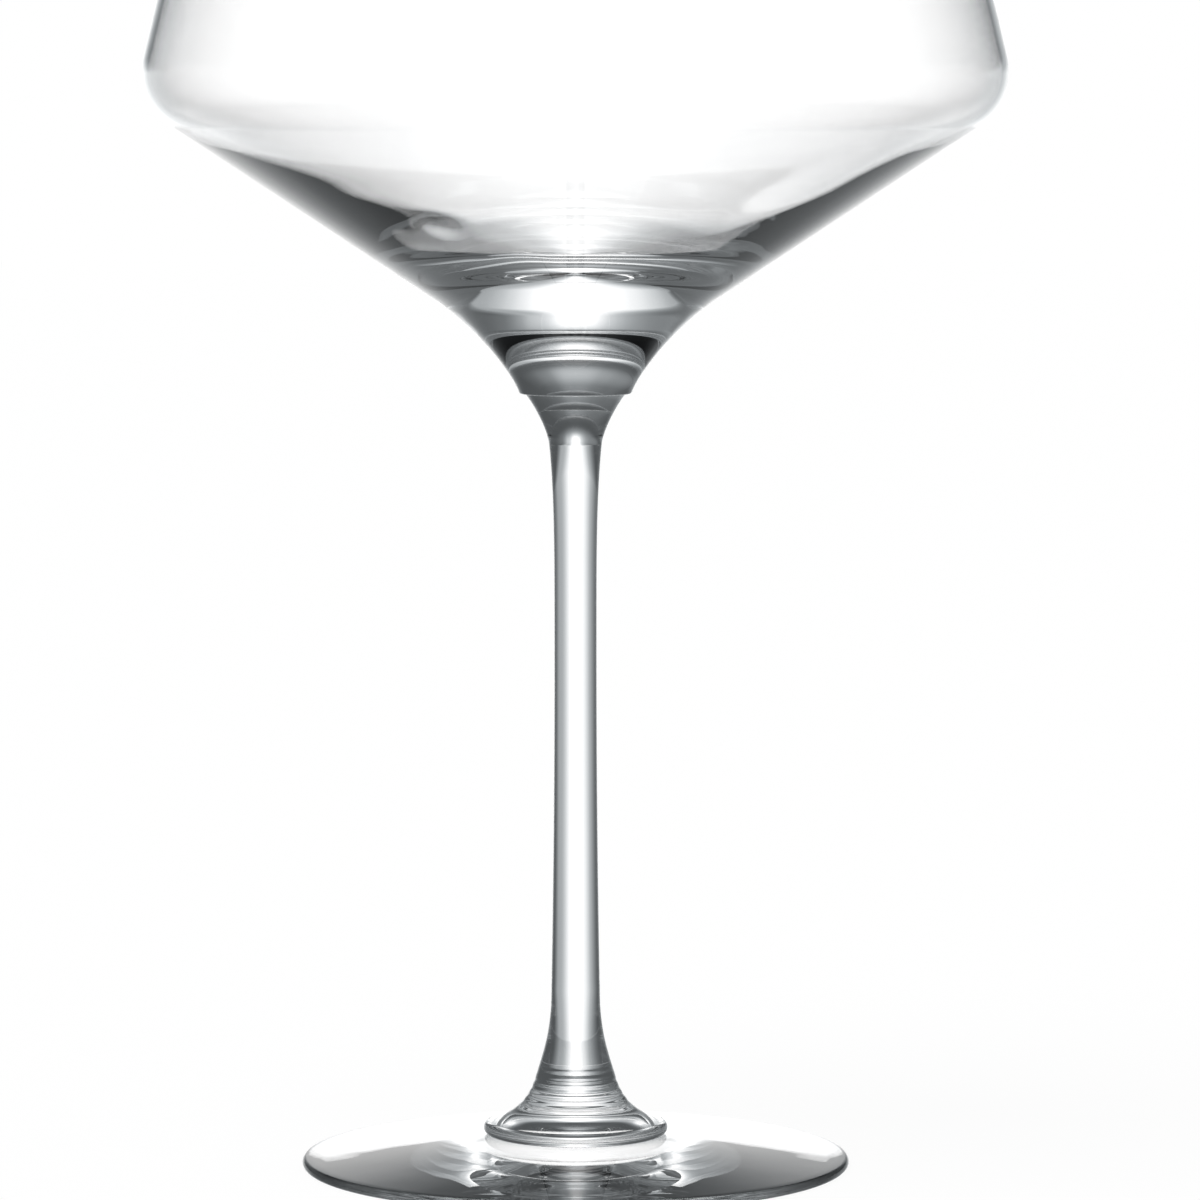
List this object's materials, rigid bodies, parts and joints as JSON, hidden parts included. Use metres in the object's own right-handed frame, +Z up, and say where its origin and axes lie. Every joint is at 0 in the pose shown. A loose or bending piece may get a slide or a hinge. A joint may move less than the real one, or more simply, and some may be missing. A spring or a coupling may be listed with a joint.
{
  "type": "cocktail coupe",
  "caption": "Clear glass cocktail coupe: an angular wide bowl with an inward-leaning wall and a heavy floor, a small collar, a slim drawn stem, a lipped base and a low disc foot",
  "frame": {"origin": "middle of the foot's standing face, on the axis of the glass", "axes": "+Z up along the axis of the glass; +X and +Y level, and the glass is round about +Z, so neither is special"},
  "size_m": [0.111, 0.111, 0.1599],
  "materials": {
    "bowl_glass": "clear polished glass",
    "collar_glass": "clear polished glass",
    "stem_glass": "clear polished glass",
    "base_glass": "clear polished glass with faint turned rings",
    "foot_glass": "clear pressed glass"
  },
  "bodies": {
    "root": {"bowl": "bowl_glass", "collar": "collar_glass", "stem": "stem_glass", "stem_base": "base_glass", "foot": "foot_glass"}
  },
  "joints": []
}
